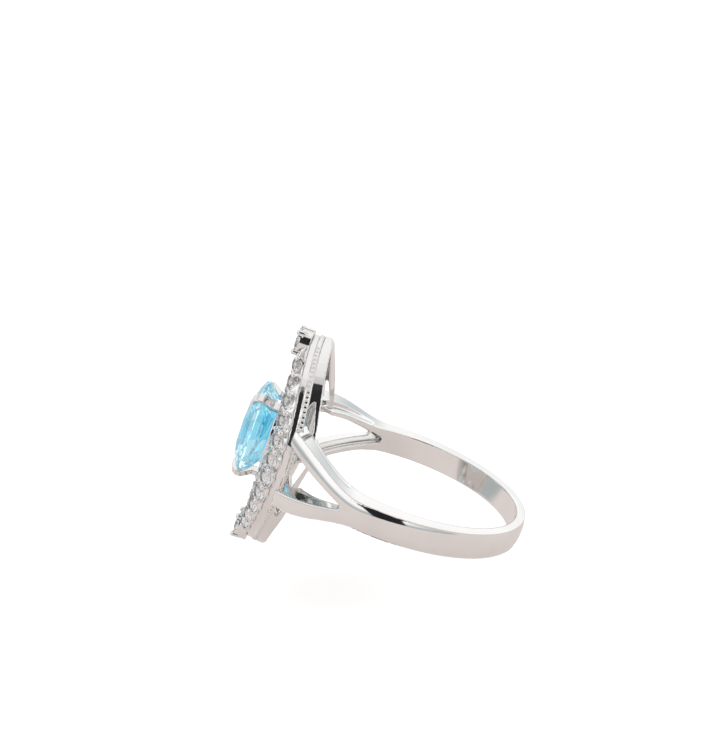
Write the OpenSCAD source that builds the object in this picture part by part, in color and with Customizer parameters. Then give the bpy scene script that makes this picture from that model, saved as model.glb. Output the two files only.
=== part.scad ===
// Cocktail ring: split-shank band, boat-shaped gallery, pointed-oval double halo
// that wraps around the finger, and a high-set oval centre stone in four claws.
// The finger passes along Y, the stone faces +Z, and the origin is the centre of
// the finger hole.

/* [Band] */
// Inner diameter of the finger hole
finger_d = 17.3; // [16.5:0.1:18.5]
// Width of the band along the finger
band_w = 2.0; // [1.6:0.1:2.6]
// Thickness of the band at its base
base_t = 0.8; // [0.7:0.05:1.2]
// Radius of the outer surface, which is struck from a centre above the hole's
outer_r = 10.4; // [10.2:0.1:10.8]

/* [Shoulders] */
// Height at which the band starts to flare
flare_z = 2.9; // [2.4:0.1:3.2]
// How far each edge has flared where the arms meet the head
flare_w = 2.0; // [1.85:0.05:2.2]
// Height of the crotch where the two arms of a shoulder part
crotch_z = 4.4; // [4.0:0.1:4.6]
// Half width that the window gains with each unit of height
window_slope = 0.35; // [0.25:0.01:0.4]

// Height at which the arms end on the head
arm_top = 9.35; // [9.2:0.05:9.5]

/* [Head] */
// Width of the head across the finger
head_w = 12.0; // [11.6:0.1:12.4]
// Length of the head along the finger
head_l = 18.2; // [18.0:0.1:18.8]
// Height of the halo plate's upper face on its middle line
plate_top = 11.35; // [11.25:0.05:11.5]
// Radius to which the plate is bent around the finger
plate_bend = 16; // [15:0.5:18]
// Extra outward lean of the stones in the outer rows, in degrees
row_lean = 27; // [16:1:30]
// Thickness of the halo plate
plate_t = 0.6; // [0.5:0.05:0.8]
// Wall of the gallery
wall = 0.7; // [0.5:0.05:0.9]

/* [Stones] */
// Width of the oval centre stone
center_w = 6; // [5.6:0.1:6.2]
// Length of the oval centre stone
center_l = 8; // [7.6:0.1:8.2]
// Height of the centre stone's girdle above the finger's axis
center_z = 12.75; // [12.65:0.05:12.9]
// Diameter of the stones in the inner row
inner_d = 1.3; // [1.1:0.05:1.35]
// Stones in the inner row
inner_n = 18; // [14:2:18]
// Diameter of the stones in the outer rows
outer_d = 1.4; // [1.2:0.05:1.45]
// Stones in each of the two outer rows
outer_n = 11; // [9:1:11]
// Diameter of the stone at each end of the head
tip_d = 2.0; // [1.8:0.05:2.1]
// Height of that stone's girdle above the halo plate
tip_rise = 0.25; // [0.1:0.05:0.35]

/* [Hidden] */
$fn = 96;
gap = 0.01;
bore_r = finger_d / 2;
outer_dz = outer_r - bore_r - base_t;
big = 40;

// The head's layers, as heights on the middle line; all are bent like the plate
bend_z = plate_top - plate_bend;
plate_in = plate_top - plate_t;
skirt_mid = plate_in - 0.5;
skirt_in = skirt_mid - 0.35;
rail_in = bore_r + 0.45;

// The gallery's lower rail in plan
rail_a = head_w / 2 - 1;
rail_b = head_l / 2 - 0.1;
rail_wall = 0.8;

// Half width and half length of the halo plate, and of the line of its outer stones
head_a = head_w / 2;
head_b = head_l / 2;
row_a = head_a - 0.82;
row_b = head_b - 1.05;
row_r = (row_a * row_a + row_b * row_b) / (2 * row_a);
row_end = 6.65;
tip_y = head_b - 1.15;
filler_y = 6.15;

// A brilliant's proportions, as shares of its diameter
crown_h = 0.15;
girdle_h = 0.03;
pavilion_h = 0.42;
table_w = 0.56;

outer_names = [for (i = [1 : outer_n]) str("east_stone_", i)];
west_names = [for (i = [1 : outer_n]) str("west_stone_", i)];
inner_names = [for (i = [1 : inner_n]) str("inner_stone_", i)];
claw_names = ["claw_north_east", "claw_north_west", "claw_south_west", "claw_south_east"];

// ---- shared shapes ----

// A cylinder along the finger
module finger_cylinder(r, h = big) {
    rotate([90, 0, 0]) cylinder(r = r, h = h, center = true);
}

// Everything below the bent face that reaches height h on the middle line
module below(h) {
    translate([0, 0, bend_z]) finger_cylinder(h - bend_z);
}

// A bent layer between two heights, on the stone's side of the ring
module layer(h_in, h_out) {
    intersection() {
        difference() {
            below(h_out);
            below(h_in);
        }
        translate([-big / 2, -big / 2, 4]) cube([big, big, big]);
    }
}

// A pointed oval of half width a and half length b, inset by d
module pointed_oval(a, b, d = 0) {
    r = (a * a + b * b) / (2 * a);
    intersection() {
        translate([r - a, 0]) circle(r = r - d, $fn = 200);
        translate([a - r, 0]) circle(r = r - d, $fn = 200);
    }
}

// The upright wall that follows the pointed oval between two insets
module oval_wall(d_out, d_in) {
    linear_extrude(height = 20) {
        difference() {
            pointed_oval(head_a, head_b, d_out);
            pointed_oval(head_a, head_b, d_in);
        }
    }
}

// Places its child on the bent face of height h, above the point x, y in plan, and
// turns it to face out, with an extra lean
module on_halo(x, y, h, lean = 0) {
    r = h - bend_z;
    translate([0, y, bend_z]) rotate([0, asin(x / r), 0]) translate([0, 0, r])
        rotate([0, lean, 0]) children();
}

// A round brilliant of diameter d with its girdle at z = 0
module brilliant(d) {
    rotate_extrude() polygon([
        [0, -d * pavilion_h],
        [d / 2, 0],
        [d / 2, d * girdle_h],
        [d / 2 * table_w, d * (girdle_h + crown_h)],
        [0, d * (girdle_h + crown_h)]
    ]);
}

// The turned hole that takes a brilliant: the light hole behind it, the cone it
// rests on, and a straight mouth
module seat(d) {
    hole = d * 0.28;
    rotate_extrude() polygon([
        [0, -2], [hole, -2], [hole, (hole / (d / 2) - 1) * d * pavilion_h - gap],
        [d / 2 + gap, -gap], [d / 2 + gap, 1], [0, 1]
    ]);
}

// ---- places of the stones ----

function row_y(i) = row_r * sin(asin(row_end / row_r) * (2 * i / (outer_n - 1) - 1));
function row_x(i) = sqrt(row_r * row_r - pow(row_y(i), 2)) - row_r + row_a;
inner_a = center_w / 2 + 0.72;
inner_b = center_l / 2 + 0.72;
function inner_angle(i) = 360 * (i + 0.5) / inner_n;
function inner_x(i) = inner_a * cos(inner_angle(i) + 3 * sin(2 * inner_angle(i)));
function inner_y(i) = inner_b * sin(inner_angle(i) + 3 * sin(2 * inner_angle(i)));

module outer_place(side, i) {
    on_halo(side * row_x(i), row_y(i), plate_top - 0.1, side * row_lean) children();
}
module inner_place(i) {
    on_halo(inner_x(i), inner_y(i), plate_top - 0.05) children();
}
module filler_place(side) {
    on_halo(0, side * filler_y, plate_top - 0.05) children();
}
module tip_place(side) {
    translate([0, side * tip_y, plate_top + tip_rise]) children();
}

// ---- band and shoulders ----

flare_span = 6.8;
function ease(t) = t <= 0 ? 0 : t >= 1 ? 1 : t * t * (3 - 2 * t);
function flare(z, w) = band_w / 2 + w * ease((z - flare_z) / flare_span);

// Outline of the band and its shoulders seen across the finger
module shoulder_outline(w) {
    steps = [for (z = [flare_z : 0.6 : 10.6]) z];
    right = [for (z = steps) [flare(z, w), z]];
    left = [for (i = [len(steps) - 1 : -1 : 0]) [-flare(steps[i], w), steps[i]]];
    polygon(concat([[-band_w / 2, -12], [band_w / 2, -12]], right, left));
}

// The window between the arms of a shoulder, rounded at the crotch
module window_outline(lowest = crotch_z, round_r = 0.22) {
    top = 11.5;
    turn = atan(window_slope);
    steps = 8;
    half = round_r * cos(turn)
        + (top - lowest - round_r * (1 - sin(turn))) * window_slope;
    crotch = [for (i = [0 : steps])
        let (a = 180 + turn + i * (180 - 2 * turn) / steps)
        [round_r * cos(a), lowest + round_r * (1 + sin(a))]];
    polygon(concat(crotch, [[half, top], [-half, top]]));
}

// Extrudes an outline drawn in y and z along x, on both sides of the ring
module across() {
    rotate([90, 0, 90]) linear_extrude(height = big, center = true) children();
}

// Solid band with its two shoulders, before the finger hole and the windows are cut.
// The shoulders are narrower beside the finger than outside.
module band_blank(grow = 0) {
    inner_layer = bore_r + 0.9;
    intersection() {
        translate([0, 0, outer_dz]) finger_cylinder(outer_r);
        across() shoulder_outline(flare_w - 0.5 + grow);
    }
    intersection() {
        difference() {
            translate([0, 0, outer_dz]) finger_cylinder(outer_r);
            finger_cylinder(inner_layer);
        }
        across() shoulder_outline(flare_w + grow);
    }
}

module shank() color([0.86, 0.86, 0.85]) {
    recess_depth = 1.1;
    recess_drop = 1.25;
    recess_round = 0.3;
    difference() {
        band_blank();
        finger_cylinder(bore_r);
        across() window_outline();
        // hollow behind each crotch, open to the finger
        intersection() {
            finger_cylinder(bore_r + recess_depth);
            across() window_outline(crotch_z - recess_drop, recess_round);
        }
        // the arms end on the rail's inner side, and against the wall above it
        translate([0, 0, 5]) linear_extrude(height = 10)
            pointed_oval(rail_a - rail_wall, rail_b - rail_wall);
        intersection() {
            translate([0, 0, 5]) linear_extrude(height = 10)
                pointed_oval(head_a, head_b, 0.1 - gap);
            layer(skirt_in - gap, 20);
        }
        translate([-big / 2, -big / 2, arm_top]) cube([big, big, big]);
    }
}

// ---- gallery ----

// Lower rail of the gallery: a yoke at each end, from arm to tip to arm, that lies
// close to the finger and lifts towards the tip like a boat's keel
module gallery_yoke(side) color([0.84, 0.84, 0.83]) {
    start_y = 2.1;
    keel_y = 9.6;
    keel_end_z = 9.6;
    keel_start_z = 6.2;
    slot_y = 4.95;
    slot_z = 8.8;
    difference() {
        intersection() {
            layer(6, skirt_in - gap);
            across() scale([side, 1]) polygon([
                [start_y, keel_start_z], [keel_y, keel_end_z], [keel_y, 20], [start_y, 20]
            ]);
            linear_extrude(height = 20) difference() {
                pointed_oval(rail_a, rail_b);
                pointed_oval(rail_a - rail_wall + gap, rail_b - rail_wall);
            }
        }
        // slot under the gallery's wall
        across() scale([side, 1]) polygon([
            [start_y - 1, slot_z - 0.6], [slot_y - 2, slot_z - 0.6], [slot_y, slot_z],
            [slot_y - 2, slot_z + 0.9], [start_y - 1, slot_z + 0.9]
        ]);
        finger_cylinder(rail_in);
        // room for the arms of the shoulders
        band_blank(gap);
    }
}

module gallery_skirt() color([0.85, 0.85, 0.84]) {
    intersection() {
        layer(skirt_mid, plate_in - gap);
        oval_wall(0.22, 0.2 + wall);
    }
    intersection() {
        layer(skirt_in, skirt_mid + gap);
        oval_wall(0.1, 0.25 + wall);
    }
}

// ---- halo ----

// Outline of the halo plate in plan, scalloped around its outer stones
module halo_outline() {
    scallop = outer_d / 2 + 0.16;
    difference() {
        union() {
            pointed_oval(head_a, head_b, 0.25);
            for (side = [-1, 1]) for (i = [0 : outer_n - 1])
                translate([side * row_x(i), row_y(i)]) circle(r = scallop);
        }
        scale([center_w - 0.9, center_l - 0.9]) circle(d = 1);
    }
}

module halo_plate() color([0.88, 0.88, 0.87]) {
    difference() {
        intersection() {
            layer(plate_in, plate_top);
            linear_extrude(height = 20) halo_outline();
        }
        for (side = [-1, 1]) for (i = [0 : outer_n - 1]) outer_place(side, i) seat(outer_d);
        for (i = [0 : inner_n - 1]) inner_place(i) seat(inner_d);
        for (side = [-1, 1]) filler_place(side) seat(inner_d);
        for (side = [-1, 1]) tip_place(side) translate([0, 0, -3])
            cylinder(d = tip_d + 0.4 + 2 * gap, h = 5);
    }
}

module tip_basket(side) color([0.87, 0.87, 0.86]) {
    difference() {
        union() {
            tip_place(side) translate([0, 0, -tip_rise - plate_t])
                cylinder(d = tip_d + 0.4, h = tip_rise + plate_t + 0.05);
            for (a = [30 : 60 : 330]) tip_place(side) rotate([0, 0, a])
                translate([tip_d / 2 + 0.06, 0, -0.1]) cylinder(r = 0.17, h = 0.38);
        }
        tip_place(side) seat(tip_d);
    }
}

// ---- centre stone and its setting ----

module center_shape(grow = 0) {
    l = center_l / 2;
    translate([0, 0, center_z]) scale([center_w / center_l, 1, 1]) rotate_extrude() polygon([
        [0, -2.65 - grow], [l * 0.62, -1.45 - grow], [l + grow, 0], [l + grow, 0.15],
        [l * 0.57 + grow, 1.0 + grow], [0, 1.0 + grow]
    ]);
}

module center_stone() color([0.35, 0.72, 0.9]) center_shape();

// Oval collar that carries the stone and holds the claws, set in the plate's opening
module center_basket() color([0.86, 0.86, 0.85]) {
    difference() {
        translate([0, 0, plate_in - 0.1]) scale([center_w - 0.95, center_l - 0.95, 1])
            cylinder(d = 1, h = plate_t + 0.2);
        center_shape(gap);
        translate([0, 0, 6]) scale([center_w - 2.3, center_l - 2.3, 1]) cylinder(d = 1, h = 10);
        for (i = [0 : 3]) claw_place(i) claw_foot(gap);
    }
}

// Puts its child beside the girdle at corner i, turned so that +X points away
// from the stone
module claw_place(i) {
    sx = (i == 0 || i == 3) ? 1 : -1;
    sy = i < 2 ? 1 : -1;
    translate([sx * 1.95, sy * 3.06, center_z])
        rotate([0, 0, atan2(sy * 0.666, sx * 0.746)]) children();
}

// The foot of a claw, which stands in the collar
module claw_foot(grow = 0) {
    w = 0.7;
    translate([-0.72 - grow, -w / 2 - grow, plate_in - center_z - grow])
        cube([0.5 + 2 * grow, w + 2 * grow, 1.2]);
}

// One claw: its foot, a post that leans out to the girdle, and a tab over the crown
module claw(i) color([0.88, 0.88, 0.87]) {
    w = 0.72;
    difference() {
        claw_place(i) {
            claw_foot();
            translate([0, w / 2, 0]) rotate([90, 0, 0]) linear_extrude(height = w) polygon([
                [-0.72, -0.6], [-0.72, -0.9], [-0.22, -0.9], [0.3, -0.1], [0.3, 0.3],
                [0.05, 0.62], [-0.7, 0.85], [-0.75, 0.6], [-0.1, 0.3], [-0.1, -0.1]
            ]);
        }
        center_shape(gap);
        // clear of the plate around the collar
        translate([0, 0, -gap]) intersection() {
            layer(plate_in - 1, plate_top + gap);
            linear_extrude(height = 20) difference() {
                square(big, center = true);
                scale([center_w - 0.9, center_l - 0.9]) circle(d = 1);
            }
        }
    }
}

module small_stone(d) color([0.93, 0.95, 0.97]) brilliant(d);

// ---- assembly ----

shank();
gallery_yoke(1);  // gallery_yoke_north
gallery_yoke(-1);  // gallery_yoke_south
gallery_skirt();
halo_plate();
center_basket();
center_stone();
tip_basket(1);  // tip_basket_north
tip_basket(-1);  // tip_basket_south
tip_place(1) small_stone(tip_d);  // tip_stone_north
tip_place(-1) small_stone(tip_d);  // tip_stone_south
filler_place(1) small_stone(inner_d);  // filler_stone_north
filler_place(-1) small_stone(inner_d);  // filler_stone_south
for (i = [0 : 3]) claw(i);
for (i = [0 : inner_n - 1])
    inner_place(i) small_stone(inner_d);
for (i = [0 : outer_n - 1])
    outer_place(1, i) small_stone(outer_d);
for (i = [0 : outer_n - 1])
    outer_place(-1, i) small_stone(outer_d);
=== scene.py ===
"""Visual model of a cocktail ring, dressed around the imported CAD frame.

The finger passes along Y and the centre stone faces +Z. Sizes in the classes are in
millimetres, as in the CAD source, and become metres where meshes are made.
"""
import logging
import math
import random
from dataclasses import dataclass, field
from enum import Enum
from typing import Callable, Iterable, Optional

import bmesh
import bpy
import numpy as np
from mathutils import Matrix, Vector


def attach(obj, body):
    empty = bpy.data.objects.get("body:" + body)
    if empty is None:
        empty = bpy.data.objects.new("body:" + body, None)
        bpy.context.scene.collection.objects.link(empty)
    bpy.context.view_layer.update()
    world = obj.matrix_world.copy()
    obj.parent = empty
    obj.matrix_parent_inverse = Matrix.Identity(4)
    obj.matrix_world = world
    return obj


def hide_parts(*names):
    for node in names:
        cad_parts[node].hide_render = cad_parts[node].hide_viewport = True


MM = 0.001
SEED = 7
# The mottling, hairlines and pits of polished metal, in features per metre
PATCH_SCALE = 320.0
HAIR_STRETCH = (900.0, 5200.0, 900.0)
PIT_SCALE = 900.0
PIT_EDGE = 0.16
HAIR_SHARE = 0.25
BUMP_DEPTH = 0.02 * MM
# Painted light and shade on the gemstones: each facet is made lighter or darker by the way it
# faces
PAINTED_FACET_SCALE = 2.7
PAINTED_FACET_NOISE = (0.38, 0.62)
PAINTED_FACET_LIGHT_AND_SHADE = (-0.7, 0.25)
# The Mix node repeats its socket names for each data type; these are the colour ones
MIX_FACTOR, MIX_A, MIX_B, MIX_RESULT = 0, 6, 7, 2
LOG = logging.getLogger("ring")

Point = tuple[float, float, float]
Colour = tuple[float, float, float, float]


class Slot(Enum):
    """The record's material slots."""

    METAL = "white_metal"
    BLUE = "blue_stone"
    WHITE = "white_stone"


class Side(Enum):
    """The two sides of a symmetric pair."""

    PLUS = 1
    MINUS = -1


# ---------------------------------------------------------------- node groups


def value_socket(group: bpy.types.NodeTree, name: str, kind: str, out: bool) -> None:
    """Adds one named socket to a node group.

    Args:
        group: The node group.
        name: The socket's name.
        kind: Its socket type.
        out: True for an output.
    """
    group.interface.new_socket(
        name=name, in_out="OUTPUT" if out else "INPUT", socket_type=kind)


def polish_group() -> bpy.types.NodeTree:
    """Makes the group that gives polished metal its hairlines, pits and mottling.

    Returns:
        A group with outputs Color, Roughness and Height.
    """
    group = bpy.data.node_groups.new("hand_polish", "ShaderNodeTree")
    value_socket(group, "Light Color", "NodeSocketColor", False)
    value_socket(group, "Dark Color", "NodeSocketColor", False)
    value_socket(group, "Base Roughness", "NodeSocketFloat", False)
    value_socket(group, "Wear", "NodeSocketFloat", False)
    value_socket(group, "Color", "NodeSocketColor", True)
    value_socket(group, "Roughness", "NodeSocketFloat", True)
    value_socket(group, "Height", "NodeSocketFloat", True)
    nodes, links = group.nodes, group.links
    inside = nodes.new("NodeGroupInput")
    outside = nodes.new("NodeGroupOutput")
    place = nodes.new("ShaderNodeTexCoord")
    patches = nodes.new("ShaderNodeTexNoise")
    patches.inputs["Scale"].default_value = PATCH_SCALE
    patches.inputs["Detail"].default_value = 3.0
    stretch = nodes.new("ShaderNodeMapping")
    stretch.inputs["Scale"].default_value = HAIR_STRETCH
    hairs = nodes.new("ShaderNodeTexNoise")
    hairs.inputs["Scale"].default_value = 1.0
    hairs.inputs["Detail"].default_value = 4.0
    pits = nodes.new("ShaderNodeTexVoronoi")
    pits.inputs["Scale"].default_value = PIT_SCALE
    pit_mask = nodes.new("ShaderNodeMapRange")
    pit_mask.inputs["From Max"].default_value = PIT_EDGE
    blend = nodes.new("ShaderNodeMix")
    blend.data_type = "RGBA"
    worn = nodes.new("ShaderNodeMath")
    worn.operation = "MULTIPLY_ADD"
    both = nodes.new("ShaderNodeMath")
    both.operation = "MULTIPLY_ADD"
    both.inputs[1].default_value = HAIR_SHARE
    links.new(place.outputs["Object"], patches.inputs["Vector"])
    links.new(place.outputs["Object"], stretch.inputs["Vector"])
    links.new(place.outputs["Object"], pits.inputs["Vector"])
    links.new(stretch.outputs["Vector"], hairs.inputs["Vector"])
    links.new(pits.outputs["Distance"], pit_mask.inputs["Value"])
    links.new(patches.outputs["Fac"], blend.inputs[MIX_FACTOR])
    links.new(inside.outputs["Light Color"], blend.inputs[MIX_A])
    links.new(inside.outputs["Dark Color"], blend.inputs[MIX_B])
    links.new(blend.outputs[MIX_RESULT], outside.inputs["Color"])
    links.new(hairs.outputs["Fac"], worn.inputs[0])
    links.new(inside.outputs["Wear"], worn.inputs[1])
    links.new(inside.outputs["Base Roughness"], worn.inputs[2])
    links.new(worn.outputs["Value"], outside.inputs["Roughness"])
    links.new(hairs.outputs["Fac"], both.inputs[0])
    links.new(pit_mask.outputs["Result"], both.inputs[2])
    links.new(both.outputs["Value"], outside.inputs["Height"])
    return group


def depth_group() -> bpy.types.NodeTree:
    """Makes the group that gives a gemstone its colour with painted light and shade: paler
    towards its top, darker towards its bottom, and lighter or darker on each facet by the way it
    faces.

    Returns:
        A group with output Color.
    """
    group = bpy.data.node_groups.new("gem_colour_painted_shade", "ShaderNodeTree")
    value_socket(group, "Face Color", "NodeSocketColor", False)
    value_socket(group, "Depth Color", "NodeSocketColor", False)
    value_socket(group, "Low", "NodeSocketFloat", False)
    value_socket(group, "High", "NodeSocketFloat", False)
    value_socket(group, "Color", "NodeSocketColor", True)
    nodes, links = group.nodes, group.links
    inside = nodes.new("NodeGroupInput")
    outside = nodes.new("NodeGroupOutput")
    place = nodes.new("ShaderNodeTexCoord")
    split = nodes.new("ShaderNodeSeparateXYZ")
    level = nodes.new("ShaderNodeMapRange")
    # Painted light and shade by facet: noise read from each facet's facing makes it lighter or
    # darker
    facets = nodes.new("ShaderNodeTexNoise")
    facets.inputs["Scale"].default_value = PAINTED_FACET_SCALE
    tone = nodes.new("ShaderNodeMapRange")
    tone.inputs["From Min"].default_value, tone.inputs["From Max"].default_value = PAINTED_FACET_NOISE
    tone.inputs["To Min"].default_value, tone.inputs["To Max"].default_value = PAINTED_FACET_LIGHT_AND_SHADE
    painted_light_and_shade = nodes.new("ShaderNodeMath")
    blend = nodes.new("ShaderNodeMix")
    blend.data_type = "RGBA"
    links.new(place.outputs["Object"], split.inputs["Vector"])
    links.new(place.outputs["Normal"], facets.inputs["Vector"])
    links.new(facets.outputs["Fac"], tone.inputs["Value"])
    # Painted light and shade by height: paler towards the stone's top, darker towards its bottom
    links.new(split.outputs["Z"], level.inputs["Value"])
    links.new(inside.outputs["Low"], level.inputs["From Min"])
    links.new(inside.outputs["High"], level.inputs["From Max"])
    links.new(tone.outputs["Result"], painted_light_and_shade.inputs[0])
    links.new(level.outputs["Result"], painted_light_and_shade.inputs[1])
    links.new(painted_light_and_shade.outputs["Value"], blend.inputs[MIX_FACTOR])
    links.new(inside.outputs["Depth Color"], blend.inputs[MIX_A])
    links.new(inside.outputs["Face Color"], blend.inputs[MIX_B])
    links.new(blend.outputs[MIX_RESULT], outside.inputs["Color"])
    return group


# ---------------------------------------------------------------- finishes


def blank_material(name: str) -> tuple[bpy.types.Material, bpy.types.NodeTree]:
    """Returns a new material with its node tree."""
    material = bpy.data.materials.new(name)
    material.use_nodes = True
    return material, material.node_tree


@dataclass(frozen=True)
class MetalFinish:
    """Rhodium-plated metal as one part of the ring shows it."""

    name: str
    light: Colour = (0.93, 0.93, 0.92, 1.0)
    dark: Colour = (0.80, 0.775, 0.755, 1.0)
    roughness: float = 0.05
    wear: float = 0.06
    bump: float = 0.05

    def make(self, group: bpy.types.NodeTree) -> bpy.types.Material:
        """Builds the material.

        Args:
            group: The shared polish group.

        Returns:
            The finished material.
        """
        material, tree = blank_material(self.name)
        shader = tree.nodes["Principled BSDF"]
        shader.inputs["Metallic"].default_value = 1.0
        polish = tree.nodes.new("ShaderNodeGroup")
        polish.node_tree = group
        polish.inputs["Light Color"].default_value = self.light
        polish.inputs["Dark Color"].default_value = self.dark
        polish.inputs["Base Roughness"].default_value = self.roughness
        polish.inputs["Wear"].default_value = self.wear
        bump = tree.nodes.new("ShaderNodeBump")
        bump.inputs["Strength"].default_value = self.bump
        bump.inputs["Distance"].default_value = BUMP_DEPTH
        tree.links.new(polish.outputs["Color"], shader.inputs["Base Color"])
        tree.links.new(polish.outputs["Roughness"], shader.inputs["Roughness"])
        tree.links.new(polish.outputs["Height"], bump.inputs["Height"])
        tree.links.new(bump.outputs["Normal"], shader.inputs["Normal"])
        material.diffuse_color = self.light
        return material


@dataclass(frozen=True)
class GemFinish:
    """A cut and polished gemstone."""

    name: str
    # face and depth are the colours at the stone's top and bottom; the change from one to the
    # other is painted light and shade
    face: Colour
    depth: Colour
    low: float
    high: float
    ior: float = 1.62
    glow: float = 0.0

    def make(self, group: bpy.types.NodeTree) -> bpy.types.Material:
        """Builds the material.

        Args:
            group: The shared gem colour group.

        Returns:
            The finished material.
        """
        material, tree = blank_material(self.name)
        shader = tree.nodes["Principled BSDF"]
        shader.inputs["Metallic"].default_value = 0.0
        shader.inputs["Roughness"].default_value = 0.0
        shader.inputs["Transmission Weight"].default_value = 1.0
        shader.inputs["IOR"].default_value = self.ior
        shader.inputs["Emission Strength"].default_value = self.glow
        # Painted light and shade: the stone's colour is paler towards its top, darker towards
        # its bottom and changes from facet to facet
        colour = tree.nodes.new("ShaderNodeGroup")
        colour.node_tree = group
        colour.inputs["Face Color"].default_value = self.face
        colour.inputs["Depth Color"].default_value = self.depth
        colour.inputs["Low"].default_value = self.low * MM
        colour.inputs["High"].default_value = self.high * MM
        tree.links.new(colour.outputs["Color"], shader.inputs["Base Color"])
        tree.links.new(colour.outputs["Color"], shader.inputs["Emission Color"])
        material.diffuse_color = self.face
        return material


@dataclass
class Finishes:
    """All finishes of the ring, made once and handed to its parts."""

    band: MetalFinish = MetalFinish("band_rhodium")
    setting: MetalFinish = MetalFinish("setting_rhodium", roughness=0.07, bump=0.08)
    bead: MetalFinish = MetalFinish("bead_rhodium", roughness=0.09, wear=0.03)
    # The first colour is a stone's top, the second its lower part: the blue is the sky-blue
    # stone's own colour, while the paler top and the darker, greyer lower part are painted light
    # and shade
    blue: GemFinish = GemFinish("sky_blue_stone", (0.72, 0.95, 0.99, 1),
                                (0.08, 0.52, 0.76, 1), 10.5, 13.2, 1.62, 0.11)
    white: GemFinish = GemFinish("colourless_stone", (0.99, 0.99, 1.0, 1),
                                 (0.72, 0.74, 0.77, 1), 7.0, 9.0, 1.7)
    made: dict[str, bpy.types.Material] = field(default_factory=dict)

    def make(self) -> None:
        """Builds the shared groups and every material."""
        polish = polish_group()
        depth = depth_group()
        for finish in (self.band, self.setting, self.bead):
            self.made[finish.name] = finish.make(polish)
        for gem in (self.blue, self.white):
            self.made[gem.name] = gem.make(depth)

    def of(self, finish: MetalFinish | GemFinish) -> bpy.types.Material:
        """Returns the material made for a finish."""
        return self.made[finish.name]


# ---------------------------------------------------------------- mesh helpers


def add_piece(name: str, mesh: bpy.types.Mesh, material: bpy.types.Material,
              replaced: Iterable[str] = ()) -> bpy.types.Object:
    """Links a mesh as one visible piece of the ring.

    Args:
        name: The piece's name.
        mesh: Its mesh, in metres in the ring's frame.
        material: Its material.
        replaced: CAD nodes that it stands for.

    Returns:
        The new object.
    """
    obj = bpy.data.objects.new(name, mesh)
    bpy.context.scene.collection.objects.link(obj)
    mesh.materials.clear()
    mesh.materials.append(material)
    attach(obj, "root")
    nodes = tuple(replaced)
    if nodes:
        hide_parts(*nodes)
    LOG.info("%s: %d faces", name, len(mesh.polygons))
    return obj


def shade(mesh: bpy.types.Mesh, smooth: bool) -> None:
    """Sets whether a whole mesh is shaded smooth."""
    mesh.polygons.foreach_set("use_smooth", [smooth] * len(mesh.polygons))


def mesh_from(name: str, verts: list[Point], faces: list[list[int]],
              smooth: bool) -> bpy.types.Mesh:
    """Makes a mesh from millimetre points with its faces turned outward.

    Args:
        name: The mesh's name.
        verts: Its points in millimetres.
        faces: Its faces.
        smooth: Whether it is shaded smooth.

    Returns:
        The mesh in metres.
    """
    mesh = bpy.data.meshes.new(name)
    mesh.from_pydata([tuple(c * MM for c in v) for v in verts], [], faces)
    bm = bmesh.new()
    bm.from_mesh(mesh)
    bmesh.ops.recalc_face_normals(bm, faces=bm.faces)
    bm.to_mesh(mesh)
    bm.free()
    shade(mesh, smooth)
    mesh.update()
    return mesh


def softened(node: str, voxel: float, rounds: int,
             snap: Optional[Callable[[np.ndarray], np.ndarray]] = None) -> bpy.types.Mesh:
    """Remeshes a CAD node finely and rounds its edges as casting and polishing do.

    Args:
        node: The CAD node.
        voxel: The voxel size in millimetres.
        rounds: How many times the surface is relaxed.
        snap: Moves points, in millimetres, onto the true curved faces.

    Returns:
        The new mesh in metres.
    """
    source = bpy.data.objects.new("work_" + node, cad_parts[node].data.copy())
    bpy.context.scene.collection.objects.link(source)
    bm = bmesh.new()
    bm.from_mesh(source.data)
    bmesh.ops.remove_doubles(bm, verts=bm.verts, dist=1e-7)
    bmesh.ops.scale(bm, vec=(1000, 1000, 1000), verts=bm.verts)
    bm.to_mesh(source.data)
    bm.free()
    remesh = source.modifiers.new("cast", "REMESH")
    remesh.mode = "VOXEL"
    remesh.voxel_size = voxel
    remesh.use_smooth_shade = True
    graph = bpy.context.evaluated_depsgraph_get()
    mesh = bpy.data.meshes.new_from_object(source.evaluated_get(graph))
    if snap is not None:
        co = np.empty(len(mesh.vertices) * 3)
        mesh.vertices.foreach_get("co", co)
        mesh.vertices.foreach_set("co", snap(co.reshape(-1, 3)).ravel())
    source.modifiers.clear()
    source.data = mesh
    relax = source.modifiers.new("polish", "SMOOTH")
    relax.factor = 0.5
    relax.iterations = rounds
    graph = bpy.context.evaluated_depsgraph_get()
    done = bpy.data.meshes.new_from_object(source.evaluated_get(graph))
    done.transform(Matrix.Scale(MM, 4))
    shade(done, True)
    done.name = node + "_mesh"
    bpy.data.objects.remove(source)
    return done


@dataclass(frozen=True)
class Grain:
    """One size of raised bead: a dome's radius and how far its stem reaches down."""

    radius: float
    stem: float
    flatten: float = 0.95
    uneven: float = 0.12
    lift: float = 0.1

    def add(self, bm: bmesh.types.BMesh, place: Matrix, draw: random.Random) -> None:
        """Adds one bead of this size.

        Args:
            bm: The mesh being built, in millimetres.
            place: Where the bead stands.
            draw: The source of its small irregularities.
        """
        ball = bmesh.ops.create_icosphere(bm, subdivisions=2, radius=self.radius)["verts"]
        for v in ball:
            if v.co.z < 0:
                v.co.z *= self.stem / self.radius
            v.co.z *= self.flatten
        squeeze = Matrix.Diagonal((1.0 + draw.uniform(-self.uneven, self.uneven),
                                   1.0 + draw.uniform(-self.uneven, self.uneven), 1.0, 1.0))
        bmesh.ops.transform(
            bm, matrix=place @ Matrix.Translation((0, 0, self.lift)) @ squeeze, verts=ball)


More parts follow.
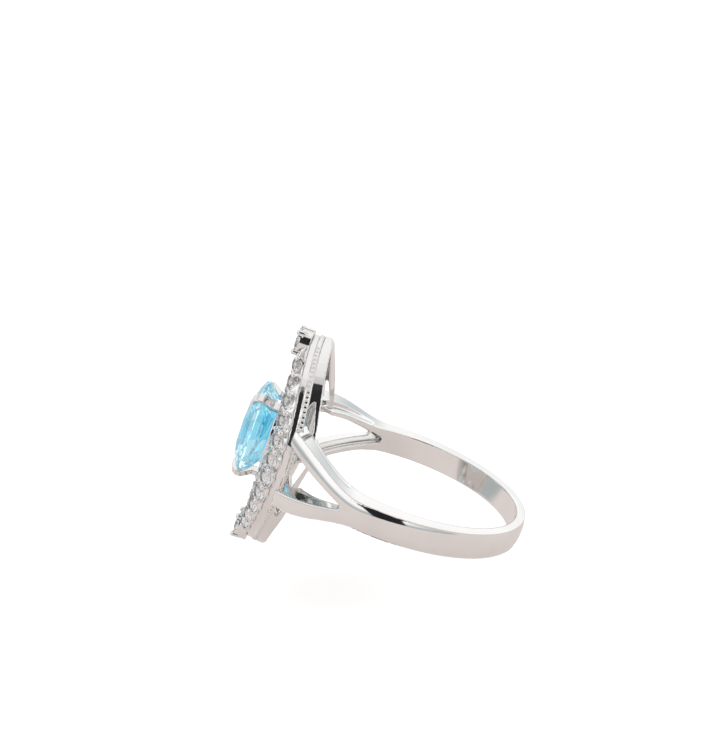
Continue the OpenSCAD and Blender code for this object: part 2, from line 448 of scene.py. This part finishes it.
def grain_mesh(name: str, grains: list[tuple[Matrix, Grain]], seed: int) -> bpy.types.Mesh:
    """Makes one mesh of many beads.

    Args:
        name: The mesh's name.
        grains: The place and size of each bead, in millimetres.
        seed: The seed of their small irregularities.

    Returns:
        The mesh in metres.
    """
    bm = bmesh.new()
    draw = random.Random(seed)
    for place, size in grains:
        size.add(bm, place, draw)
    bmesh.ops.scale(bm, vec=(MM, MM, MM), verts=bm.verts)
    mesh = bpy.data.meshes.new(name)
    bm.to_mesh(mesh)
    bm.free()
    shade(mesh, True)
    return mesh


# ---------------------------------------------------------------- the ring's parts


@dataclass
class Band:
    """The split-shank band with its four shoulder arms."""

    bore_r: float = 8.65
    outer_r: float = 10.4
    outer_z: float = 0.95
    width: float = 2.0
    flare_z: float = 2.9
    flare_span: float = 6.8
    flare_w: float = 2.0
    voxel: float = 0.07
    reach: float = 0.05
    dome: float = 0.2
    dome_from_edge: float = 0.85

    def half_width(self, z: np.ndarray) -> np.ndarray:
        """Returns the band's half width at each height."""
        t = np.clip((z - self.flare_z) / self.flare_span, 0, 1)
        return self.width / 2 + self.flare_w * t * t * (3 - 2 * t)

    def snap(self, co: np.ndarray) -> np.ndarray:
        """Moves points near the band's true faces exactly onto them.

        Args:
            co: Points in millimetres.

        Returns:
            The moved points.
        """
        r = np.hypot(co[:, 0], co[:, 2])
        near = np.abs(r - self.bore_r) < self.reach
        for axis in (0, 2):
            co[near, axis] *= self.bore_r / r[near]
        z = co[:, 2] - self.outer_z
        r = np.hypot(co[:, 0], z)
        near = np.abs(r - self.outer_r) < self.reach
        half = self.half_width(co[:, 2])
        edge = np.clip(1 - (half - np.abs(co[:, 1])) / self.dome_from_edge, 0, 1)
        true_r = self.outer_r - self.dome * edge[near] ** 2.5
        co[near, 0] *= true_r / r[near]
        co[near, 2] = self.outer_z + z[near] * true_r / r[near]
        near = np.abs(np.abs(co[:, 1]) - half) < self.reach
        co[near, 1] = np.sign(co[near, 1]) * half[near]
        return co

    def build(self, finishes: Finishes) -> None:
        """Builds the band.

        Args:
            finishes: The ring's finishes.
        """
        mesh = softened("shank", self.voxel, 6, self.snap)
        add_piece("polished_shank", mesh, finishes.of(finishes.band), ["shank"])


@dataclass
class Gallery:
    """The wall under the halo, the lower yokes and the collar."""

    voxel: float = 0.06
    rounds: int = 3

    def build(self, finishes: Finishes) -> None:
        """Builds the gallery's pieces.

        Args:
            finishes: The ring's finishes.
        """
        names = {"gallery_skirt": "cast_skirt", "gallery_yoke_north": "cast_yoke_north",
                 "gallery_yoke_south": "cast_yoke_south", "center_basket": "cast_collar"}
        for node, name in names.items():
            mesh = softened(node, self.voxel, self.rounds)
            add_piece(name, mesh, finishes.of(finishes.setting), [node])


@dataclass
class RoundCut:
    """A brilliant cut with table, star, kite and girdle facets, round or oval."""

    fold: int = 8
    crown: float = 0.15
    girdle: float = 0.03
    pavilion: float = 0.42
    table: float = 0.56
    kite: float = 0.56
    lower: float = 0.78

    def points(self, width: float, length: float, crown: Optional[float] = None,
               pavilion: Optional[float] = None) -> tuple[list[Point], list[list[int]]]:
        """Lays out the cut around its girdle at z = 0.

        Args:
            width: The girdle's size along x.
            length: The girdle's size along y.
            crown: The crown's height, or None for the usual share of the width.
            pavilion: The pavilion's depth, or None for the usual share.

        Returns:
            Points in millimetres and faces.
        """
        n = self.fold
        top = self.girdle * width
        rise = self.crown * width if crown is None else crown
        deep = self.pavilion * width if pavilion is None else pavilion
        verts: list[Point] = []

        def ring(count: int, turn: float, share: float, z: float) -> list[int]:
            """Adds a ring of points and returns their numbers."""
            start = len(verts)
            for i in range(count):
                a = 2 * math.pi * (i + turn) / count
                verts.append((width / 2 * share * math.cos(a),
                              length / 2 * share * math.sin(a), z))
            return list(range(start, start + count))

        table = ring(n, 0.5, self.table, top + rise)
        kite = ring(n, 0.0, 0.5 * (self.table + 1.0), top + rise * self.kite)
        upper = ring(2 * n, 0.0, 1.0, top)
        lower = ring(2 * n, 0.0, 1.0, 0.0)
        shoulder = ring(n, 0.5, 1.0 - self.lower, -deep * self.lower)
        culet = len(verts)
        verts.append((0.0, 0.0, -deep))
        faces: list[list[int]] = [table]
        for i in range(n):
            j = (i + 1) % n
            faces.append([table[i - 1], table[i], kite[i]])
            mid = (2 * i + 1) % (2 * n)
            faces.append([kite[i], table[i], kite[j], upper[mid]])
            faces.append([kite[i], upper[mid], upper[2 * i]])
            faces.append([kite[j], upper[(2 * i + 2) % (2 * n)], upper[mid]])
            faces.append([lower[2 * i], lower[mid], shoulder[i]])
            faces.append([lower[mid], lower[(2 * i + 2) % (2 * n)], shoulder[i]])
            faces.append([lower[2 * i], shoulder[i], culet, shoulder[i - 1]])
        for i in range(2 * n):
            j = (i + 1) % (2 * n)
            faces.append([lower[i], lower[j], upper[j], upper[i]])
        return verts, faces


@dataclass
class Halo:
    """The halo: its plate, cut stones and the beads that grip them."""

    head_a: float = 6.0
    head_b: float = 9.1
    plate_top: float = 11.35
    plate_bend: float = 16.0
    row_lean: float = 27.0
    plate_t: float = 0.6
    rim_start: float = 0.15
    rim_slope: float = 1.1
    rim_inset: float = 0.2
    rim_height: float = 10.07
    grain_n: int = 53
    grain_end: float = 8.2
    claw_ring: float = 1.1
    outer_d: float = 1.4
    inner_d: float = 1.3
    tip_d: float = 2.0
    tip_rise: float = 0.25
    outer_n: int = 11
    inner_n: int = 18
    row_end: float = 6.65
    filler_y: float = 6.15
    filler_dx: float = 0.62
    filler_dy: float = 0.5
    center_w: float = 6.0
    center_l: float = 8.0
    row_inset_a: float = 0.82
    row_inset_b: float = 1.05
    tip_inset: float = 1.15
    ring_gap: float = 0.72
    ring_even: float = 3.0
    outer_sink: float = 0.1
    inner_sink: float = 0.05
    rim_floor: float = 0.08
    grain_lean: float = 65.0
    claw_rise: float = 0.12
    prong: Grain = Grain(0.23, 0.55)
    row_bead: Grain = Grain(0.18, 0.2)
    fine_bead: Grain = Grain(0.14, 0.1)
    ring_bead: Grain = Grain(0.17, 0.15)
    inner_bead: Grain = Grain(0.16, 0.15)
    fine_grain: Grain = Grain(0.15, 0.12)
    tip_claw: Grain = Grain(0.25, 1.0)

    def __post_init__(self) -> None:
        """Works out the lines that the stones follow."""
        self.bend_z = self.plate_top - self.plate_bend
        self.row_a = self.head_a - self.row_inset_a
        self.row_b = self.head_b - self.row_inset_b
        self.row_r = (self.row_a ** 2 + self.row_b ** 2) / (2 * self.row_a)
        self.tip_y = self.head_b - self.tip_inset
        self.inner_a = self.center_w / 2 + self.ring_gap
        self.inner_b = self.center_l / 2 + self.ring_gap

    def on_halo(self, x: float, y: float, height: float, lean: float = 0.0) -> Matrix:
        """Gives the place on the bent face above a point in plan.

        Args:
            x: Across the finger, in millimetres.
            y: Along the finger.
            height: The bent face's height on the middle line.
            lean: Extra lean in degrees.

        Returns:
            The placement in millimetres.
        """
        r = height - self.bend_z
        return (Matrix.Translation((0, y, self.bend_z))
                @ Matrix.Rotation(math.asin(x / r), 4, "Y")
                @ Matrix.Translation((0, 0, r))
                @ Matrix.Rotation(math.radians(lean), 4, "Y"))

    def row_xy(self, i: float) -> tuple[float, float]:
        """Returns the plan position of stone i, or a point between two, of an outer row."""
        y = self.row_r * math.sin(
            math.asin(self.row_end / self.row_r) * (2 * i / (self.outer_n - 1) - 1))
        return math.sqrt(self.row_r ** 2 - y * y) - self.row_r + self.row_a, y

    def inner_xy(self, i: float, grow: float = 0.0) -> tuple[float, float]:
        """Returns the plan position of stone i of the inner row, moved outward by grow."""
        angle = 2 * math.pi * (i + 0.5) / self.inner_n
        angle += math.radians(self.ring_even) * math.sin(2 * angle)
        return ((self.inner_a + grow) * math.cos(angle), (self.inner_b + grow) * math.sin(angle))

    def outer_place(self, side: Side, i: float, out: float = 0.0) -> Matrix:
        """Returns the place of stone i of an outer row, moved outward by out."""
        x, y = self.row_xy(i)
        return self.on_halo(side.value * (x + out), y, self.plate_top - self.outer_sink,
                            side.value * self.row_lean)

    def trim_rim(self, co: np.ndarray) -> np.ndarray:
        """Files the plate's rim down outside the outer stones, so that they stand free.

        Args:
            co: Points in millimetres.

        Returns:
            The moved points.
        """
        out = np.hypot(np.abs(co[:, 0]) + self.row_r - self.row_a, co[:, 1]) - self.row_r
        r = np.hypot(co[:, 0], co[:, 2] - self.bend_z)
        height = r + self.bend_z
        lowest = self.plate_top - self.plate_t + self.rim_floor
        limit = np.maximum(self.plate_top - (out - self.rim_start) * self.rim_slope, lowest)
        over = (out > self.rim_start) & (height > limit)
        share = (limit[over] - self.bend_z) / r[over]
        co[over, 0] *= share
        co[over, 2] = self.bend_z + (co[over, 2] - self.bend_z) * share
        return co

    def stones(self) -> dict[str, tuple[Matrix, float]]:
        """Returns each small stone's CAD node with its place and diameter."""
        found: dict[str, tuple[Matrix, float]] = {}
        for side, word in ((Side.PLUS, "east"), (Side.MINUS, "west")):
            for i in range(self.outer_n):
                found[f"{word}_stone_{i + 1}"] = (self.outer_place(side, i), self.outer_d)
        for i in range(self.inner_n):
            x, y = self.inner_xy(i)
            found[f"inner_stone_{i + 1}"] = (
                self.on_halo(x, y, self.plate_top - self.inner_sink), self.inner_d)
        for side, word in ((Side.PLUS, "north"), (Side.MINUS, "south")):
            found[f"filler_stone_{word}"] = (
                self.on_halo(0, side.value * self.filler_y,
                             self.plate_top - self.inner_sink),
                self.inner_d)
            found[f"tip_stone_{word}"] = (
                Matrix.Translation((0, side.value * self.tip_y,
                                    self.plate_top + self.tip_rise)),
                self.tip_d)
        return found

    def beads(self) -> list[tuple[Matrix, Grain]]:
        """Returns the place and size of every bead and prong that grips the small stones."""
        found: list[tuple[Matrix, Grain]] = []
        half = self.outer_d / 2
        for side in Side:
            for i in range(-1, self.outer_n):
                for share, size in ((0.86, self.prong), (-0.7, self.row_bead),
                                    (0.05, self.fine_bead)):
                    found.append((self.outer_place(side, i + 0.5, half * share), size))
        for i in range(self.inner_n):
            for share, size in ((0.36, self.ring_bead), (-0.36, self.inner_bead)):
                x, y = self.inner_xy(i + 0.5, self.inner_d * share)
                found.append((self.on_halo(x, y, self.plate_top), size))
        for side in Side:
            for dx in (-self.filler_dx, self.filler_dx):
                for dy in (-self.filler_dy, self.filler_dy):
                    found.append((self.on_halo(dx, side.value * self.filler_y + dy,
                                               self.plate_top), self.inner_bead))
        return found

    def milgrain(self) -> list[tuple[Matrix, Grain]]:
        """Returns the row of fine grains along the gallery wall's lower rim."""
        found: list[tuple[Matrix, Grain]] = []
        r = (self.head_a ** 2 + self.head_b ** 2) / (2 * self.head_a) - self.rim_inset
        reach = math.asin(self.grain_end / r)
        for side in Side:
            for i in range(self.grain_n):
                a = reach * (2 * i / (self.grain_n - 1) - 1)
                x = r * math.cos(a) - (r - self.head_a + self.rim_inset)
                found.append((self.on_halo(side.value * x, r * math.sin(a), self.rim_height,
                                           side.value * self.grain_lean), self.fine_grain))
        return found

    def tip_claws(self) -> list[tuple[Matrix, Grain]]:
        """Returns the four claws that stand around each end stone."""
        found: list[tuple[Matrix, Grain]] = []
        for side in Side:
            seat = self.on_halo(0, side.value * self.tip_y, self.plate_top + self.tip_rise)
            for k in range(4):
                a = math.radians(45 + 90 * k)
                found.append((seat @ Matrix.Translation((
                    self.claw_ring * math.cos(a), self.claw_ring * math.sin(a),
                    self.claw_rise)), self.tip_claw))
        return found

    def build(self, finishes: Finishes) -> None:
        """Builds the plate, the stones, the beads and the end settings.

        Args:
            finishes: The ring's finishes.
        """
        metal = finishes.of(finishes.setting)
        add_piece("cast_halo_plate", softened("halo_plate", 0.055, 2, self.trim_rim), metal,
                  ["halo_plate"])
        for word in ("north", "south"):
            node = "tip_basket_" + word
            add_piece("cast_" + node, softened(node, 0.04, 3), metal, [node])
        cut = RoundCut()
        for node, (place, d) in self.stones().items():
            verts, faces = cut.points(d, d)
            moved = [tuple(place @ Vector(v)) for v in verts]
            mesh = mesh_from("cut_" + node, moved, faces, False)
            add_piece("cut_" + node, mesh, finishes.of(finishes.white), [node])
        for seed, (name, grains) in enumerate((("halo_beads", self.beads()),
                                               ("rim_milgrain", self.milgrain()),
                                               ("tip_claws", self.tip_claws())), SEED):
            add_piece(name, grain_mesh(name, grains, seed), finishes.of(finishes.bead))


@dataclass
class Centre:
    """The oval centre stone and its four claws."""

    width: float = 6.0
    length: float = 8.0
    girdle_z: float = 12.75
    crown: float = 1.06
    girdle: float = 0.34
    pavilion: float = 2.5
    table: float = 0.6
    lower: float = 0.5
    sink: float = 0.06

    def build(self, finishes: Finishes) -> None:
        """Builds the stone and the claws.

        Args:
            finishes: The ring's finishes.
        """
        cut = RoundCut(girdle=self.girdle / self.width, table=self.table, lower=self.lower)
        verts, faces = cut.points(self.width, self.length, self.crown - self.girdle,
                                  self.pavilion)
        lifted = [(x, y, z + self.girdle_z - self.sink) for x, y, z in verts]
        mesh = mesh_from("cut_center_stone", lifted, faces, False)
        add_piece("cut_center_stone", mesh, finishes.of(finishes.blue),
                  ["center_stone"])
        for corner in ("north_east", "north_west", "south_west", "south_east"):
            node = "claw_" + corner
            add_piece("polished_" + node, softened(node, 0.035, 5),
                      finishes.of(finishes.setting), [node])


# ---------------------------------------------------------------- studio


def sheet(name: str, centre: Vector, across: Vector, along: Vector) -> bpy.types.Mesh:
    """Makes one flat rectangle.

    Args:
        name: The mesh's name.
        centre: Its centre in metres.
        across: From its centre to the middle of one side.
        along: From its centre to the middle of the next side.

    Returns:
        The mesh in metres.
    """
    corners = [centre + across * a + along * b
               for a, b in ((-1, -1), (1, -1), (1, 1), (-1, 1))]
    mesh = bpy.data.meshes.new(name)
    mesh.from_pydata([tuple(c) for c in corners], [], [[0, 1, 2, 3]])
    return mesh


@dataclass
class Studio:
    """Camera, pale floor, white surroundings and the dark card.

    The camera and the floor's drop are in millimetres; the card and the floor's reach are
    in metres.
    """

    camera_at: Point = (85.73, 30.287, 3.65)
    right: Point = (-0.1174, 0.3199, -0.9401)
    up: Point = (-0.231, 0.9119, 0.3391)
    back: Point = (0.9658, 0.257, -0.0332)
    lens: float = 56.3
    floor_tilt: float = 19.0
    floor_drop: float = 9.35
    floor_reach: float = 2.0
    floor_seen: Colour = (0.95, 0.945, 0.94, 1)
    floor_mirrored: Colour = (0.57, 0.52, 0.502, 1)
    white: float = 1.35
    card_away: float = 0.30
    card_up: float = 0.15
    card_aim: float = 4.0
    card_w: float = 0.19
    card_h: float = 0.33
    card_colour: Colour = (0.012, 0.012, 0.014, 1)
    tent: tuple[tuple[float, tuple[float, float, float]], ...] = (
        (0.0, (0.6, 0.56, 0.54)), (0.5, (0.42, 0.45, 0.46)), (0.56, (0.55, 0.61, 0.64)),
        (0.64, (1.1, 1.1, 1.1)), (0.8, (1.15, 1.15, 1.15)), (0.86, (0.36, 0.35, 0.34)),
        (0.93, (0.9, 0.9, 0.9)), (0.97, (1.0, 1.0, 1.0)), (1.0, (1.0, 1.0, 1.0)))

    def camera(self) -> None:
        """Places the camera."""
        data = bpy.data.cameras.new("camera")
        data.lens = self.lens
        data.sensor_width = 36.0
        data.clip_start = 0.005
        data.clip_end = 10.0
        eye = bpy.data.objects.new("camera", data)
        rows = [[self.right[k], self.up[k], self.back[k], self.camera_at[k] * MM]
                for k in range(3)]
        eye.matrix_world = Matrix(rows + [[0, 0, 0, 1]])
        bpy.context.scene.collection.objects.link(eye)
        bpy.context.scene.camera = eye

    def floor_normal(self) -> Vector:
        """Returns the upward direction of the surface that the ring lies on."""
        tilt = math.radians(self.floor_tilt)
        return Vector((0.0, math.cos(tilt), math.sin(tilt)))

    def floor(self) -> None:
        """Lays the pale floor under the ring's lower side, seen from above only."""
        up = self.floor_normal()
        side = Vector((self.floor_reach, 0, 0))
        mesh = sheet("floor", up * (-self.floor_drop * MM), side, up.cross(side))
        if mesh.polygons[0].normal.dot(up) < 0:
            mesh.flip_normals()
        obj = bpy.data.objects.new("floor", mesh)
        bpy.context.scene.collection.objects.link(obj)
        material, tree = blank_material("white_sweep")
        shader = tree.nodes["Principled BSDF"]
        shader.inputs["Roughness"].default_value = 0.9
        ray = tree.nodes.new("ShaderNodeLightPath")
        seen = tree.nodes.new("ShaderNodeMix")
        seen.data_type = "RGBA"
        seen.inputs[MIX_A].default_value = self.floor_seen
        seen.inputs[MIX_B].default_value = self.floor_mirrored
        tree.links.new(ray.outputs["Is Glossy Ray"], seen.inputs[MIX_FACTOR])
        tree.links.new(seen.outputs[MIX_RESULT], shader.inputs["Base Color"])
        out = tree.nodes["Material Output"]
        sides = tree.nodes.new("ShaderNodeNewGeometry")
        clear = tree.nodes.new("ShaderNodeBsdfTransparent")
        mix = tree.nodes.new("ShaderNodeMixShader")
        tree.links.new(sides.outputs["Backfacing"], mix.inputs["Fac"])
        tree.links.new(shader.outputs["BSDF"], mix.inputs[1])
        tree.links.new(clear.outputs["BSDF"], mix.inputs[2])
        tree.links.new(mix.outputs["Shader"], out.inputs["Surface"])
        mesh.materials.append(material)

    def world(self) -> None:
        """Surrounds the ring with a white tent that reflections show as graded light."""
        world = bpy.data.worlds.new("white_tent")
        world.use_nodes = True
        tree = world.node_tree
        nodes, links = tree.nodes, tree.links
        plain = nodes["Background"]
        plain.inputs["Color"].default_value = (1, 1, 1, 1)
        plain.inputs["Strength"].default_value = self.white
        place = nodes.new("ShaderNodeTexCoord")
        lift = nodes.new("ShaderNodeVectorMath")
        lift.operation = "DOT_PRODUCT"
        lift.inputs[1].default_value = self.floor_normal()
        ramp = nodes.new("ShaderNodeValToRGB")
        stops = ramp.color_ramp.elements
        for spot, shade in self.tent:
            stop = stops[0] if spot == 0 else stops.new(spot)
            stop.position = spot
            stop.color = (*shade, 1)
        stops.remove(stops[-1])
        level = nodes.new("ShaderNodeMapRange")
        level.inputs["From Min"].default_value = -1.0
        graded = nodes.new("ShaderNodeBackground")
        graded.inputs["Strength"].default_value = 1.0
        ray = nodes.new("ShaderNodeLightPath")
        mix = nodes.new("ShaderNodeMixShader")
        links.new(place.outputs["Generated"], lift.inputs[0])
        links.new(lift.outputs["Value"], level.inputs["Value"])
        links.new(level.outputs["Result"], ramp.inputs["Fac"])
        links.new(ramp.outputs["Color"], graded.inputs["Color"])
        links.new(ray.outputs["Is Glossy Ray"], mix.inputs["Fac"])
        links.new(plain.outputs["Background"], mix.inputs[1])
        links.new(graded.outputs["Background"], mix.inputs[2])
        links.new(mix.outputs["Shader"], nodes["World Output"].inputs["Surface"])
        bpy.context.scene.world = world

    def card(self, name: str, centre: Vector, facing: Vector, width: float, height: float,
             colour: Colour) -> None:
        """Hangs a card that only reflections show.

        Args:
            name: The card's name.
            centre: Its centre in metres.
            facing: What it faces, in metres.
            width: Its width in metres.
            height: Its height in metres.
            colour: Its colour.
        """
        away = (centre - facing).normalized()
        side = self.floor_normal().cross(away).normalized()
        tall = away.cross(side)
        mesh = sheet(name, centre, side * width / 2, tall * height / 2)
        obj = bpy.data.objects.new(name, mesh)
        bpy.context.scene.collection.objects.link(obj)
        material, tree = blank_material(name)
        tree.nodes.remove(tree.nodes["Principled BSDF"])
        glow = tree.nodes.new("ShaderNodeEmission")
        glow.inputs["Color"].default_value = colour
        tree.links.new(glow.outputs["Emission"], tree.nodes["Material Output"].inputs["Surface"])
        mesh.materials.append(material)
        obj.visible_camera = False
        obj.visible_diffuse = False
        obj.visible_shadow = False
        obj.visible_volume_scatter = False
        obj.visible_transmission = False

    def build(self) -> None:
        """Sets the whole studio."""
        bpy.context.scene.view_settings.view_transform = "Standard"
        self.camera()
        self.floor()
        self.world()
        up = self.floor_normal()
        eye = Vector(self.camera_at) * MM
        level = (eye - up * eye.dot(up)).normalized()
        centre = level * self.card_away + up * self.card_up
        target = Vector((0, 0, self.card_aim * MM))
        self.card("dark_card", centre, target, self.card_w, self.card_h, self.card_colour)


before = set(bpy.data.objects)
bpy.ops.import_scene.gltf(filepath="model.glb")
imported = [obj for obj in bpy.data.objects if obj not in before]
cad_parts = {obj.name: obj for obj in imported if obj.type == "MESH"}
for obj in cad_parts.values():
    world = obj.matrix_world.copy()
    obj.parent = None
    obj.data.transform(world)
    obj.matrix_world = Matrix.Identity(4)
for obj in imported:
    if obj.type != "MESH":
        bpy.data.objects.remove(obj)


def main() -> None:
    """Builds the ring and its studio in order."""
    logging.basicConfig(level=logging.INFO, format="%(name)s %(message)s")
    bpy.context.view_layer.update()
    finishes = Finishes()
    finishes.make()
    Studio().build()
    Band().build(finishes)
    Gallery().build(finishes)
    Halo().build(finishes)
    Centre().build(finishes)


if __name__ == "__main__":
    main()
